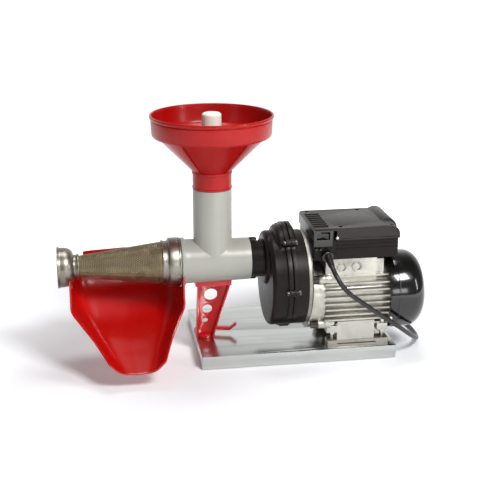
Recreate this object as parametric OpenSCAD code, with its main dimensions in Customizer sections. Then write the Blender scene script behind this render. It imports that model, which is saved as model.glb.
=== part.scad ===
// Electric fruit mill: an auger pushes fruit through a conical sieve.
// Millimetres, +Z up, +X towards the motor, -Y towards the user.
// The origin is the centre of the base tray's footprint, at floor level.

/* [Base] */
// Length of the folded base tray
base_len = 302; // [280:1:330]
// Depth of the folded base tray
base_dep = 199; // [180:1:220]
// Height of the base tray above the floor
base_h = 21; // [18:1:26]
// Thickness of the stainless sheet
sheet_t = 1.5; // [1:0.5:2.5]

/* [Axes] */
// Distance of the mill and motor axes from the tray's centre line
axis_y = -50; // [-55:1:-45]
// Height of the mill axis above the floor
mill_z = 158; // [158:1:158]
// Height of the motor axis above the floor
motor_z = 97; // [97:1:97]
// Height of the reduction gear case's drum centre
drum_z = 125; // [124:1:126]

/* [Mill] */
// Outer radius of the mill barrel at its discharge end
barrel_r = 33.5; // [33:0.5:35]
// Outer radius of the mill barrel at the gear case end
barrel_r2 = 31.5; // [31:0.5:33]
// Radius of the barrel's bore
bore_r = 28.5; // [28:0.5:29]
// Position of the feed neck along the barrel
neck_x = -127; // [-130:1:-122]
// Outer radius of the feed neck
neck_r = 29; // [28:0.5:30]
// Height of the feed neck's top edge
neck_top = 270; // [262:1:276]
// Pitch of the auger flight
auger_pitch = 34; // [30:1:40]

/* [Funnel] */
// Outer radius of the funnel's lip
funnel_r = 90; // [84:1:96]
// Height of the funnel's lip above the floor
funnel_top = 380; // [370:1:390]
// Radius of the pestle's handle
pestle_r = 14.2; // [13:0.1:16]

/* [Sieve and tray] */
// Outer radius of the sieve cone at its wide end
sieve_r = 31.4; // [31:0.1:32]
// Outer radius of the sieve cone at its narrow end
sieve_r2 = 16.3; // [15.5:0.1:17]
// Outer radius of the waste nozzle's lip
nozzle_r = 31; // [30:0.5:34]
// Half width of the collecting tray at the sieve
tray_w = 81.5; // [80:0.5:83]
// Wall thickness of the collecting tray
tray_t = 2.4; // [2:0.1:3]

/* [Drive] */
// Outer radius of the gear case's drum
drum_r = 72; // [71:1:73]
// Outer radius of the lobe over the output gear
lobe_r = 50; // [49:0.5:52]
// Radius of the envelope of the motor's cooling fins
fin_r = 58; // [57:0.5:58]
// Outer radius of the fan cowl
cowl_r = 60; // [60:0.5:62]
// Teeth of the pinion on the motor shaft
pinion_teeth = 12; // [12:1:12]
// Teeth of the countershaft wheel that the pinion drives
wheel_teeth = 56; // [56:1:56]
// Teeth of the pinion on the countershaft
pinion2_teeth = 12; // [12:1:12]
// Teeth of the wheel on the output shaft
wheel2_teeth = 42; // [42:1:42]

/* [Terminal box] */
// Level of the terminal box's underside
box_floor = 163; // [161:1:165]
// Level of the terminal box's top
box_top = 212; // [210:1:214]
// Position of the terminal box's front face
box_front = -94; // [-96:1:-92]
// Position of the terminal box's back face
box_back = 8; // [6:1:10]
// Position of the terminal box's left end
box_left = 17; // [17:1:17]
// Position of the terminal box's right end
box_right = 150; // [148:1:152]

/* [Cord] */
// Diameter of the supply cord
cord_d = 7; // [6.5:0.1:7.5]
// Mean radius of the stored coil's turns
coil_r = 39; // [37:0.5:41]

/* [Hidden] */
$fn = 96;
eps = 0.01;

// Stations along the mill and drive axis
body_x0 = -190.5;
flange_x = [-176, -170];
body_x1 = -72;
case_x = [-47, 7];
split_x = -17;
wall = 4;
plate_x = [7, 12];
gasket_x = [12, 13.5];
shield_x = [13.5, 36];
motor_x = [36, 136];
cowl_x = [136, 195];
sieve_x = [-326, -204.5];
nozzle_x = -358;
nut_r = 36.8;
plinth_z = [base_h, 34];
stud_x = [50.5, 129];
stud_dy = 38;
lug_angles = [40, 140, 220, 320];
lug_pcr = 56;
lug_r = 7;
collar_r = 28.5;
bolt_at = [[axis_y - 44, 193], [axis_y + 44, 193], [axis_y - drum_r - 4, 125.5],
    [axis_y + drum_r + 4, 125.5], [axis_y, drum_z - drum_r - 4]];
bolt_ear = 5.2;
foot_x = -135;
foot_y = 0;
rubber_at = [135, 70];
foot_bore = 2.5;

// Shafts and bearings; fit is the radial running clearance
shaft_r = 6;
out_r = 12;
fit = 0.04;
bearing_r = 16;
bearing_w = 10;
bearing_front = 15.5;
bearing_rear = 127;

// Terminal box details
box_x = [box_left, box_right];
box_y = [box_front, box_back];
box_z = [box_floor, box_top];
lid_z = 193.5;
gland_x = 38;
gland_z = 171;
gland_y = box_y[0] - 9;
lid_screw_at = [[60, box_y[0] + 8.4], [139.5, box_y[0] + 8.4], [27.3, box_y[1] - 8.4],
    [108, box_y[1] - 8.4]];
hump_r = 17;
hump_x = 138;
hump_z = 198;
cap_r = 9;
cap_x = 132;
cap_z = 199.5;
cap_y = [-58, 2];
switch_c = [31.5, 202];

// Gear train: teeth, modules, centre distances and the countershaft's place
teeth_1 = [pinion_teeth, wheel_teeth];
teeth_2 = [pinion2_teeth, wheel2_teeth];
mod_1 = 1;
mod_2 = 2;
a1 = mod_1 * (teeth_1[0] + teeth_1[1]) / 2;
a2 = mod_2 * (teeth_2[0] + teeth_2[1]) / 2;
axis_gap = mill_z - motor_z;
counter_up = (axis_gap * axis_gap + a1 * a1 - a2 * a2) / (2 * axis_gap);
counter_z = motor_z + counter_up;
counter_y = axis_y + sqrt(a1 * a1 - counter_up * counter_up);
angle_1 = atan2(counter_z - motor_z, counter_y - axis_y);
angle_2 = atan2(mill_z - counter_z, axis_y - counter_y);

steel = "silver";
cast = [0.78, 0.78, 0.75];
black = [0.13, 0.12, 0.12];
red = [0.75, 0.12, 0.1];
tinned = [0.7, 0.69, 0.64];

// Cylinder along X from x0 to x1, about the axis at (y, z)
module xcyl(x0, x1, r, y = axis_y, z = mill_z, r2 = -1) {
    translate([x0, y, z]) rotate([0, 90, 0])
        cylinder(h = x1 - x0, r1 = r, r2 = r2 < 0 ? r : r2);
}

// Solid of revolution about X: points are [distance along X, radius]
module xrev(points, y = axis_y, z = mill_z) {
    translate([0, y, z]) rotate([0, 90, 0]) rotate([0, 0, 90])
        rotate_extrude() polygon([for (p = points) [p[1], p[0]]]);
}

// Cylinder along Y from y0 to y1, about the axis at (x, z)
module ycyl(y0, y1, r, x, z) {
    translate([x, y1, z]) rotate([90, 0, 0]) cylinder(h = y1 - y0, r = r);
}

// Quarter arc of n steps about c, from angle a0 to a1
function arc(c, r, a0, a1, n = 6) =
    [for (i = [0:n]) c + r * [cos(a0 + (a1 - a0) * i / n), sin(a0 + (a1 - a0) * i / n)]];

// Extrusion along X of a [y, z] outline
module xprism(x0, x1) {
    translate([x0, 0, 0]) rotate([90, 0, 90]) linear_extrude(x1 - x0) children();
}

// Spur wheel along X with straight-flanked teeth; one tooth points at angle a
module spur(x0, x1, y, z, teeth, m, bore, a) {
    pr = m * teeth / 2;
    tip = 0.9 * m;
    root = 1.2 * m;
    step = 360 / teeth;
    translate([x0, y, z]) rotate([90, 0, 90]) linear_extrude(x1 - x0)
        difference() {
            polygon([for (i = [0:teeth - 1], k = [-1, 1], s = [0, 1])
                let (h = k < 0 ? s : 1 - s,
                     w = step * (h == 0 ? 0.31 : 0.105),
                     r = h == 0 ? pr - root : pr + tip,
                     t = a + i * step + k * w)
                r * [cos(t), sin(t)]]);
            circle(r = bore);
        }
}

// Outline of the gear case in [y, z]: drum and lobe together
module case_outline(grow = 0) {
    translate([axis_y, drum_z]) circle(r = drum_r + grow);
    translate([axis_y, mill_z]) circle(r = lobe_r + grow);
}

module base_tray() {
    r = 3;
    color("silver") difference() {
        translate([0, 0, 1]) linear_extrude(base_h - 1) tray_outline(0, r);
        translate([0, 0, -1]) linear_extrude(base_h + 1 - sheet_t) tray_outline(sheet_t, r - sheet_t);
        for (x = stud_x, s = [-1, 1])
            translate([x, axis_y + s * stud_dy, base_h - 4]) cylinder(h = 6, r = 3.5);
        translate([foot_x, foot_y, base_h - 4]) cylinder(h = 6, r = 3.1);
    }
}

// Plan of the base tray, moved in by an inset, with rounded corners
module tray_outline(inset, r) {
    w = base_len / 2 - inset - r;
    d = base_dep / 2 - inset - r;
    polygon(concat(arc([w, d], r, 0, 90), arc([-w, d], r, 90, 180),
        arc([-w, -d], r, 180, 270), arc([w, -d], r, 270, 360)));
}

module rubber_feet() {
    color(black) for (x = [-1, 1], y = [-1, 1])
        translate([x * rubber_at[0], y * rubber_at[1], 0]) difference() {
            union() {
                cylinder(h = 4, r1 = 9, r2 = 10.5);
                translate([0, 0, 4]) cylinder(h = base_h - sheet_t - 4, r = 10.5);
            }
            translate([0, 0, -1]) cylinder(h = 13, r = foot_bore);
        }
}

module plinth_rails() {
    slot_h = 2;
    color(cast) for (y = [axis_y - stud_dy, axis_y + stud_dy])
        difference() {
            translate([42.5, y - 9, plinth_z[0]]) cube([95, 18, plinth_z[1] - plinth_z[0]]);
            translate([58, y - 10, 27]) cube([60, 7, slot_h]);
            translate([58, y + 3, 27]) cube([60, 7, slot_h]);
            for (x = stud_x) translate([x, y, 20]) cylinder(h = 20, r = 3.5);
        }
}

module motor_foot_bolts() {
    color(steel) for (x = stud_x, y = [axis_y - stud_dy, axis_y + stud_dy])
        translate([x, y, 0]) {
            translate([0, 0, base_h - sheet_t - 7]) cylinder(h = 7 - 2.2, r = 5.5, $fn = 6);
            translate([0, 0, base_h - sheet_t - 2.2]) cylinder(h = 2.2, r = 7);
            translate([0, 0, base_h - sheet_t - 7]) cylinder(h = 58 - base_h + sheet_t + 11, r = 3);
            translate([0, 0, 58]) cylinder(h = 5, r = 5.5, $fn = 6);
            translate([0, 0, 42]) cylinder(h = 5, r = 5.5, $fn = 6);
        }
}

module motor_housing() {
    core_r = 50;
    fin_t = 2.6;
    fin_pitch = 9.6;
    color(cast) difference() {
        union() {
            xcyl(motor_x[0], motor_x[1], core_r, z = motor_z);
            // Horizontal fins on both sides
            for (k = [-4:4], s = [-1, 1]) {
                z = k * fin_pitch;
                tip = sqrt(fin_r * fin_r - z * z);
                translate([motor_x[0], s > 0 ? axis_y : axis_y - tip, motor_z + z - fin_t / 2])
                    cube([motor_x[1] - motor_x[0], tip, fin_t]);
            }
            for (a = lug_angles)
                xcyl(motor_x[0], motor_x[0] + 10, lug_r, axis_y + lug_pcr * cos(a), motor_z + lug_pcr * sin(a));
            // Seat of the terminal box on top
            translate([38, axis_y - 40, motor_z + 20]) cube([79, 80, box_z[0] - motor_z - 20]);
            translate([117, axis_y - 36, motor_z + 20]) cube([12, 72, box_z[0] - motor_z - 24]);
            // Feet: a bar down to each rail and a pad over each stud
            for (s = [-1, 1]) {
                translate([57, axis_y + s * stud_dy - 8, plinth_z[1]]) cube([58, 16, 30]);
                translate([57, axis_y + s * 30 - 12, 50]) cube([58, 24, 14]);
                for (x = stud_x)
                    translate([x - 10, axis_y + s * stud_dy - 9, 47])
                        cube([min(20, cowl_x[0] - 0.5 - x + 10), 18, 11]);
                translate([44, axis_y + s * 24.5 - 6.5, 52]) cube([90, 13, 12]);
            }
        }
        xcyl(motor_x[0] - 1, motor_x[1] + 1, 46, z = motor_z);
        // Round knock-outs on the front of the seat and the wire passage
        ycyl(axis_y - 42, axis_y - 38, 6.6, 62.5, 149);
        ycyl(axis_y - 42, axis_y - 38, 7.4, 86.5, 149.3);
        translate([90, axis_y, motor_z]) cylinder(h = 80, r = 12);
        for (x = stud_x, s = [-1, 1]) translate([x, axis_y + s * stud_dy, 0]) {
            translate([0, 0, 40]) cylinder(h = 30, r = 3);
            translate([0, 0, 58]) cylinder(h = 10, r = 7);
        }
    }
}

module front_shield() {
    color(cast) difference() {
        union() {
            xcyl(shield_x[0], shield_x[1], 53, z = motor_z);
            for (a = lug_angles)
                xcyl(27, shield_x[1], lug_r, axis_y + lug_pcr * cos(a), motor_z + lug_pcr * sin(a));
        }
        xcyl(26, shield_x[1] + 1, 46, z = motor_z);
        xcyl(bearing_front, shield_x[1], bearing_r, z = motor_z);
        xcyl(shield_x[0] - 1, shield_x[1], 8, z = motor_z);
        // Room for the bolt heads
        for (a = lug_angles)
            xcyl(13, 27, 6.6, axis_y + lug_pcr * cos(a), motor_z + lug_pcr * sin(a));
    }
}

module shield_bolts() {
    color(steel) for (a = lug_angles)
        translate([16, axis_y + lug_pcr * cos(a), motor_z + lug_pcr * sin(a)])
            rotate([0, 90, 0]) {
                difference() {
                    cylinder(h = 10, r = 5.9);
                    translate([0, 0, -1]) cylinder(h = 5.6, r = 3, $fn = 6);
                }
                translate([0, 0, 10]) cylinder(h = 1, r = 6.2);
            }
}

module rear_shield() {
    color(cast) difference() {
        union() {
            xcyl(motor_x[1], motor_x[1] + 5, 52, z = motor_z);
            xcyl(bearing_rear - 2, motor_x[1] + 1, 20, z = motor_z);
        }
        xcyl(bearing_rear, bearing_rear + bearing_w, bearing_r, z = motor_z);
        xcyl(bearing_rear - 3, motor_x[1] + 6, 8, z = motor_z);
    }
}

module stator_core() {
    color("gray") difference() {
        xcyl(52, 120, 46, z = motor_z);
        xcyl(51, 121, 27, z = motor_z);
    }
}

module stator_windings() {
    color("peru") for (x = [41, 120])
        xrev([[x, 32], [x + 2, 30], [x + 9, 30], [x + 11, 32], [x + 11, 41], [x + 8, 44], [x + 3, 44],
            [x, 41]], z = motor_z);
}

module motor_bearings() {
    color(steel) for (x = [bearing_front, bearing_rear]) difference() {
        xcyl(x, x + bearing_w, bearing_r, z = motor_z);
        xcyl(x - 1, x + bearing_w + 1, shaft_r + fit, z = motor_z);
        for (s = [x, x + bearing_w]) difference() {
            xcyl(s - 0.8, s + 0.8, 13, z = motor_z);
            xcyl(s - 1, s + 1, 9, z = motor_z);
        }
    }
}

module rotor_shaft() {
    color(steel) {
        xcyl(-1, 172, shaft_r, z = motor_z);
        xcyl(-10, -1, 3.5, z = motor_z);
    }
}

module rotor_core() {
    color("dimgray") difference() {
        xcyl(52, 120, 26.4, z = motor_z);
        xcyl(51, 121, shaft_r, z = motor_z);
    }
}

module cooling_fan() {
    blades = 8;
    color(black) difference() {
        union() {
            xcyl(146, 166, 10, z = motor_z);
            xcyl(146, 148, 30, z = motor_z);
            for (i = [0:blades - 1])
                translate([146, axis_y, motor_z]) rotate([i * 360 / blades, 0, 0])
                    translate([0, -1, 8]) cube([18, 2, 42]);
        }
        xcyl(145, 167, shaft_r, z = motor_z);
    }
}

module motor_pinion() {
    color(steel) spur(-10, -1, axis_y, motor_z, teeth_1[0], mod_1, 3.5, angle_1);
}

module fan_cowl() {
    t = 1.8;
    x0 = cowl_x[0];
    x1 = cowl_x[1];
    edge = 24;
    end_r = cowl_r - edge;
    outer = arc([x1 - edge, end_r], edge, 90, 0, 8);
    inner = arc([x1 - edge, end_r], edge - t, 0, 90, 8);
    color(black) difference() {
        xrev(concat([[x0, cowl_r]], outer, [[x1, 4]], [[x1 - t, 4]], inner, [[x0, cowl_r - t]]),
            z = motor_z);
        // Air holes in rings on the end wall
        for (ring = [1:3], i = [0:ring * 8 - 1])
            translate([x1 - 5, axis_y + (3 + ring * 9.5) * cos(i * 45 / ring),
                motor_z + (3 + ring * 9.5) * sin(i * 45 / ring)])
                rotate([0, 90, 0]) cylinder(h = 10, r = 2.6);
        for (a = [90, 210, 330])
            translate([motor_x[1] + 2.5, axis_y, motor_z]) rotate([a - 90, 0, 0])
                cylinder(h = 70, r = 2.1);
    }
}

module cowl_screws() {
    color(steel) for (a = [90, 210, 330])
        translate([motor_x[1] + 2.5, axis_y, motor_z]) rotate([a - 90, 0, 0]) {
            translate([0, 0, 52]) cylinder(h = cowl_r - 52, r = 2);
            translate([0, 0, cowl_r]) cylinder(h = 2, r1 = 3.8, r2 = 2.4);
        }
}

module terminal_box_base() {
    x0 = box_x[0] + 2;
    x1 = box_x[1] - 2;
    y0 = box_y[0] + 2;
    y1 = box_y[1] - 2;
    color(black) difference() {
        union() {
            translate([x0, y0, box_z[0]]) cube([x1 - x0, y1 - y0, lid_z - box_z[0]]);
            // Boss under the cable gland
            ycyl(y0 - 2, y0 + 2, 10.5, gland_x, gland_z);
            // Two ribs along the front
            for (z = [lid_z - 9.4, lid_z - 15])
                translate([54, y0 - 1, z]) cube([x1 - 54, 2, 1.4]);
        }
        difference() {
            translate([x0 + 3, y0 + 3, box_z[0] + 3]) cube([x1 - x0 - 6, y1 - y0 - 6, 40]);
            for (p = lid_screw_at) translate([p[0], p[1], box_z[0]]) cylinder(h = 40, r = 4);
        }
        ycyl(y0 - 3, y0 + 4, 6.2, gland_x, gland_z);
        translate([90, axis_y, box_z[0] - 1]) cylinder(h = 5, r = 11);
        // Recess between the switch block and the long front wall
        translate([47, y0 - 2, box_z[0] + 8]) cube([6, 2.4, 30]);
        for (p = lid_screw_at) translate([p[0], p[1], lid_z - 8]) cylinder(h = 9, r = 1.6);
    }
}

// The lid's side outline in [x, z]: long flat top, rounded right end
function lid_outline(t) = concat(
    [[box_x[0] + t, lid_z - eps], [box_x[1] - t, lid_z - eps]],
    [for (p = arc([box_x[1] - 13, box_z[1] - 13], 13 - t, 0, 90, 6)) p],
    [for (p = arc([box_x[0] + 5, box_z[1] - 5], 5 - t, 90, 180, 4)) p]);

module terminal_box_lid() {
    t = 2.5;
    color(black) difference() {
        union() {
            translate([0, box_y[1], 0]) rotate([90, 0, 0])
                linear_extrude(box_y[1] - box_y[0]) polygon(lid_outline(0));
            // Half-round hump over the capacitor
            ycyl(cap_y[0] - 3, box_y[1], hump_r, hump_x, hump_z);
            // Bead along the lower edge
            translate([53.5, box_y[0] - 1.8, lid_z]) cube([box_x[1] - 54, 3, 2.2]);
        }
        difference() {
            translate([0, box_y[1] - t, 0]) rotate([90, 0, 0])
                linear_extrude(box_y[1] - box_y[0] - 2 * t) polygon(lid_outline(t));
            translate([45, box_y[0], lid_z - 1]) cube([2, 20, 30]);
            for (p = lid_screw_at) translate([p[0], p[1], lid_z]) cylinder(h = 30, r = 4);
        }
        ycyl(cap_y[0], box_y[1] - t, hump_r - t, hump_x, hump_z);
        translate([0, -100, lid_z - 60]) cube([200, 200, 60]);
        // Window of the switch block and the recess beside it
        translate([switch_c[0] - 11.5, box_y[0] - 1, switch_c[1] - 7.6]) cube([23, 6, 15.2]);
        translate([48, box_y[0] - 2, lid_z - 1]) cube([5, 5, box_z[1] - lid_z - 3]);
        // Grip grooves on the left of the top face
        for (i = [0:6])
            translate([box_x[0] + 4, box_y[0] + 8 + i * 9, box_z[1] - 0.8]) cube([20, 3, 2]);
        for (p = lid_screw_at) translate([p[0], p[1], lid_z - 1]) {
            cylinder(h = 40, r = 1.7);
            translate([0, 0, box_z[1] - lid_z - 3]) cylinder(h = 20, r = 3.4);
        }
    }
}

module lid_screws() {
    long = box_z[1] - lid_z + 2;
    color(steel) for (p = lid_screw_at) translate([p[0], p[1], lid_z - 6]) {
        cylinder(h = long, r = 1.5);
        translate([0, 0, long]) difference() {
            cylinder(h = 2, r = 3.1);
            translate([-2.4, -0.4, 1]) cube([4.8, 0.8, 2]);
            translate([-0.4, -2.4, 1]) cube([0.8, 4.8, 2]);
        }
    }
}

module start_capacitor() {
    color("gainsboro") difference() {
        ycyl(cap_y[0], cap_y[1], cap_r, cap_x, cap_z);
        for (s = [-4, 4]) ycyl(cap_y[0] - 1, cap_y[0] + 3, 1.2, cap_x + s, cap_z);
    }
}

module switch_housing() {
    w = 22;
    h = 13.6;
    rim = 3;
    front = 3.6;
    low = 9.5;
    color([0.2, 0.2, 0.2]) difference() {
        union() {
            translate([switch_c[0] - w / 2, box_y[0], switch_c[1] - h / 2]) cube([w, 24, h]);
            // Deep frame that reaches down past the lid's seam
            translate([switch_c[0] - w / 2 - rim, box_y[0] - front, switch_c[1] - h / 2 - low])
                cube([w + 2 * rim, front, h + low + 1.5]);
        }
        translate([switch_c[0] - 10, box_y[0] - 5, switch_c[1] - 6]) cube([20, 17, 12]);
        translate([switch_c[0], box_y[0] + 6, switch_c[1] - 6.5]) cylinder(h = 13, r = 1.05);
    }
}

module switch_rocker() {
    // Shallow V plan: two faces that meet over the pivot pin
    plan = [[-9.5, -6.4], [0, -5.2], [8, -9], [9.2, -3.4], [4, 3], [-4, 3], [-9.5, -4]];
    color(black) difference() {
        translate([switch_c[0], box_y[0] + 6, switch_c[1]]) {
            translate([0, 0, -5.5]) linear_extrude(11) polygon(plan);
            translate([0, 0, -6.2]) cylinder(h = 12.4, r = 1);
        }
        translate([switch_c[0] - 7, box_y[0] - 2.7, switch_c[1] - 3]) cube([1, 3, 6]);
    }
}

module cable_gland() {
    y = box_y[0];
    color(black) difference() {
        union() {
            ycyl(y - 2, y + 5.5, 6, gland_x, gland_z);
            translate([gland_x, y, gland_z]) rotate([90, 0, 0]) cylinder(h = 5, r = 9.2, $fn = 6);
            ycyl(y - 9, y - 5, 7.6, gland_x, gland_z);
        }
        ycyl(y - 14, y + 10, cord_d / 2, gland_x, gland_z);
    }
}

module strain_relief() {
    tilt = 15;
    long = 24;
    color(black) difference() {
        translate([gland_x, gland_y, gland_z]) rotate([90 + tilt, 0, 0]) difference() {
            translate([0, 0, -3]) cylinder(h = long + 3, r1 = 6.2, r2 = 4.4);
            translate([0, 0, -4]) cylinder(h = long + 5, r = cord_d / 2);
            // Grooves that let the sleeve bend
            for (i = [0:5]) translate([0, 0, 3 + i * 3.4]) difference() {
                cylinder(h = 1.5, r = 8);
                cylinder(h = 1.5, r = 4.3);
            }
        }
        translate([gland_x - 10, gland_y, gland_z - 10]) cube(20);
    }
}

module gear_case_front() {
    color(black) difference() {
        union() {
            xrev(concat([[case_x[0], 0]], [for (p = arc([case_x[0] + 6, drum_r - 6], 6, 180, 90)) p],
                [[split_x, drum_r], [split_x, 0]]), z = drum_z);
            xrev(concat([[case_x[0] + 10, 0]], [for (p = arc([case_x[0] + 18, lobe_r - 8], 8, 180, 90)) p],
                [[split_x, lobe_r], [split_x, 0]]), z = mill_z);
            // Stepped shoulder between the collar and the lobe
            xrev(concat([[case_x[0] - 5, 0]], [for (p = arc([case_x[0] + 1, 35], 6, 180, 90)) p],
                [[case_x[0] + 10.5, 41], [case_x[0] + 10.5, 0]]), z = mill_z);
            xcyl(body_x1, case_x[0] + 1, collar_r);
            // Bosses that take the two collar screws
            for (s = [-1, 1]) xcyl(body_x1, -62, 5, z = mill_z + s * 28);
            flange_rib(split_x - 7, split_x - 1);
            for (p = bolt_at) xcyl(split_x - 7, split_x, bolt_ear, p[0], p[1]);
        }
        xcyl(case_x[0] + wall, split_x + 1, drum_r - wall, z = drum_z);
        xcyl(case_x[0] + 18, split_x + 1, lobe_r - wall);
        xcyl(body_x1 - 1, case_x[0] + wall + 1, 17);
        xcyl(case_x[0] + wall - 1, case_x[0] + wall + 1, 9, counter_y, counter_z);
        for (s = [-1, 1]) {
            xcyl(body_x1 - 1, -61, 2, z = mill_z + s * 28);
            xcyl(-62, -57, 4.2, z = mill_z + s * 28);
        }
        for (p = bolt_at) xcyl(split_x - 8, split_x + 1, 2, p[0], p[1]);
    }
    // Boss of the countershaft's front bush
    color(black) difference() {
        xcyl(case_x[0] + wall, -37, 12.5, counter_y, counter_z);
        xcyl(case_x[0] + wall - 1, -36, 9, counter_y, counter_z);
    }
}

// Raised rib round the upper part of the case joint
module flange_rib(x0, x1) {
    color(black) intersection() {
        xprism(x0, x1) difference() {
            case_outline(3.5);
            case_outline(-2);
        }
        union() {
            translate([x0 - 1, axis_y - 90, 82]) cube([x1 - x0 + 2, 180, 150]);
            for (s = [-1, 1]) ycyl(axis_y - 90, axis_y + 90, (x1 - x0) / 2, (x0 + x1) / 2, 82);
        }
    }
}

module gear_case_rear() {
    color(black) difference() {
        union() {
            xcyl(split_x, case_x[1], drum_r, z = drum_z);
            xrev(concat([[split_x, 0]], [for (p = arc([split_x + 7, lobe_r - 4], 4, 90, 0)) p],
                [[split_x + 11, 0]]), z = mill_z);
            flange_rib(split_x + 1, split_x + 7);
            for (p = bolt_at) xcyl(split_x, split_x + 7, bolt_ear, p[0], p[1]);
        }
        xcyl(split_x - 1, case_x[1] - wall, drum_r - wall, z = drum_z);
        xcyl(split_x - 1, split_x + 8, lobe_r - wall);
        xcyl(split_x, case_x[1] + 1, 10, z = motor_z);
        xcyl(split_x, case_x[1] - 2, 9, counter_y, counter_z);
        xcyl(split_x, case_x[1] - 2, 11);
        for (p = bolt_at) xcyl(split_x - 1, split_x + 8, 2, p[0], p[1]);
    }
    // Bosses of the two rear bushes
    color(black) difference() {
        union() {
            xcyl(-0.5, case_x[1] - wall, 12.5, counter_y, counter_z);
            xcyl(-2, case_x[1] - wall, 14.5);
        }
        xcyl(-1, case_x[1], 9, counter_y, counter_z);
        xcyl(-3, case_x[1], 11);
    }
}

module gear_case_bolts() {
    color(steel) for (p = bolt_at) {
        translate([split_x - 11, p[0], p[1]]) rotate([0, 90, 0]) difference() {
            cylinder(h = 4, r = 3.4);
            translate([0, 0, -1]) cylinder(h = 3, r = 1.8, $fn = 6);
        }
        xcyl(split_x - 7, split_x + 10, 1.9, p[0], p[1]);
        translate([split_x + 7, p[0], p[1]]) rotate([0, 90, 0]) difference() {
            cylinder(h = 3.2, r = 3.9, $fn = 6);
            translate([0, 0, -1]) cylinder(h = 6, r = 1.9);
        }
    }
}

module case_back_plate() {
    color(cast) difference() {
        xcyl(plate_x[0], plate_x[1], drum_r - 1, z = drum_z);
        xcyl(plate_x[0] - 1, plate_x[1] + 1, 10, z = motor_z);
    }
}

module plate_gasket() {
    color([0.1, 0.1, 0.1]) difference() {
        xcyl(gasket_x[0], gasket_x[1], drum_r - 2, z = drum_z);
        xcyl(gasket_x[0] - 1, gasket_x[1] + 1, 10, z = motor_z);
    }
}

module countershaft() {
    color(steel) xcyl(-43.5, 4.5, shaft_r, counter_y, counter_z);
}

module countershaft_wheel() {
    color("tan") spur(-9, -2, counter_y, counter_z, teeth_1[1], mod_1, shaft_r,
        angle_1 + 180 + 180 / teeth_1[1]);
}

module countershaft_pinion() {
    color(steel) spur(-30, -14, counter_y, counter_z, teeth_2[0], mod_2, shaft_r, angle_2);
}

module countershaft_bushes() {
    color("goldenrod") for (x = [[-44, -37], [-0.5, 5]]) difference() {
        xcyl(x[0], x[1], 9, counter_y, counter_z);
        xcyl(x[0] - 1, x[1] + 1, shaft_r + fit, counter_y, counter_z);
    }
}

module output_wheel() {
    color("tan") spur(-28, -16, axis_y, mill_z, teeth_2[1], mod_2, out_r, angle_2 + 180 + 180 / teeth_2[1]);
}

module output_shaft() {
    color(steel) difference() {
        union() {
            xcyl(body_x1 - 1, -12, out_r);
            xcyl(-12, 4.5, 8);
        }
        translate([body_x1 - 2, axis_y - 6.15, mill_z - 6.15]) cube([21, 12.3, 12.3]);
    }
}

module output_bushes() {
    color("goldenrod") {
        difference() {
            xcyl(-66, case_x[0] + wall, 17);
            xcyl(-67, case_x[0] + wall + 1, out_r + fit);
        }
        difference() {
            xcyl(-2, 5, 11);
            xcyl(-3, 6, 8 + fit);
        }
    }
}

module shaft_seal() {
    color([0.15, 0.1, 0.1]) difference() {
        xcyl(-71, -66, 17);
        xcyl(-72, -65, out_r + 0.4);
        difference() {
            xcyl(-72, -67.5, 15.5);
            xcyl(-73, -66, 14);
        }
    }
}

module collar_screws() {
    color(steel) for (s = [-1, 1]) {
        xcyl(-77, -62, 1.95, z = mill_z + s * 28);
        translate([-62, axis_y, mill_z + s * 28]) rotate([0, 90, 0]) difference() {
            cylinder(h = 3.4, r = 3.6);
            translate([0, 0, 1.2]) cylinder(h = 4, r = 1.9, $fn = 6);
        }
    }
}

module mill_body() {
    color([0.74, 0.74, 0.71]) difference() {
        union() {
            xcyl(flange_x[0], body_x1, barrel_r, r2 = barrel_r2);
            xrev([[flange_x[0], 0], [flange_x[0], 35.4], [flange_x[0] + 0.6, 36], [flange_x[1] - 0.6, 36],
                [flange_x[1], 35.4], [flange_x[1], 0]]);
            xcyl(body_x0, flange_x[0], 33);
            translate([neck_x, axis_y, mill_z]) cylinder(h = neck_top - mill_z, r = neck_r);
        }
        xcyl(body_x0 - 1, -78, bore_r);
        xcyl(-79, body_x1 + 1, 12.8);
        translate([neck_x, axis_y, mill_z]) cylinder(h = 200, r = neck_r - 3);
        for (s = [-1, 1]) xcyl(-77, body_x1 + 1, 2, z = mill_z + s * 28);
    }
}

// Radius of the auger's core and of its flight at distance x
function core(x) = x < -330 ? 7 : x < -200 ? 8 + 5 * (x + 330) / 130 : 13;
function flight(x) = x > -202 ? bore_r - 0.8
    : x > sieve_x[0] ? sieve_r2 - 2 + (sieve_r - sieve_r2) * (x - sieve_x[0]) / (sieve_x[1] - sieve_x[0])
    : max(core(x), sieve_r2 - 3 - (sieve_x[0] - x) * 0.6);

module auger_screw() {
    sides = 28;
    rings = 86;
    x0 = -338;
    x1 = -80;
    dx = (x1 - x0) / rings;
    points = [for (i = [0:rings], j = [0:sides - 1])
        let (x = x0 + i * dx,
             a = j * 360 / sides,
             crest = pow(max(0, cos(a - 360 * (x - x0) / auger_pitch)), 5),
             r = core(x) + (flight(x) - core(x)) * crest)
        [x, axis_y + r * cos(a), mill_z + r * sin(a)]];
    faces = concat(
        [[for (j = [sides - 1:-1:0]) j]],
        [for (i = [0:rings - 1], j = [0:sides - 1])
            let (k = (j + 1) % sides) [i * sides + j, i * sides + k, (i + 1) * sides + k]],
        [for (i = [0:rings - 1], j = [0:sides - 1])
            let (k = (j + 1) % sides) [i * sides + j, (i + 1) * sides + k, (i + 1) * sides + j]],
        [[for (j = [0:sides - 1]) rings * sides + j]]);
    color("whitesmoke") polyhedron(points, faces);
}

module auger_shank() {
    color(steel) {
        xcyl(-80, body_x1 - 1.2, 9);
        translate([body_x1 - 1.2, axis_y - 6, mill_z - 6]) cube([19, 12, 12]);
    }
}

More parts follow.
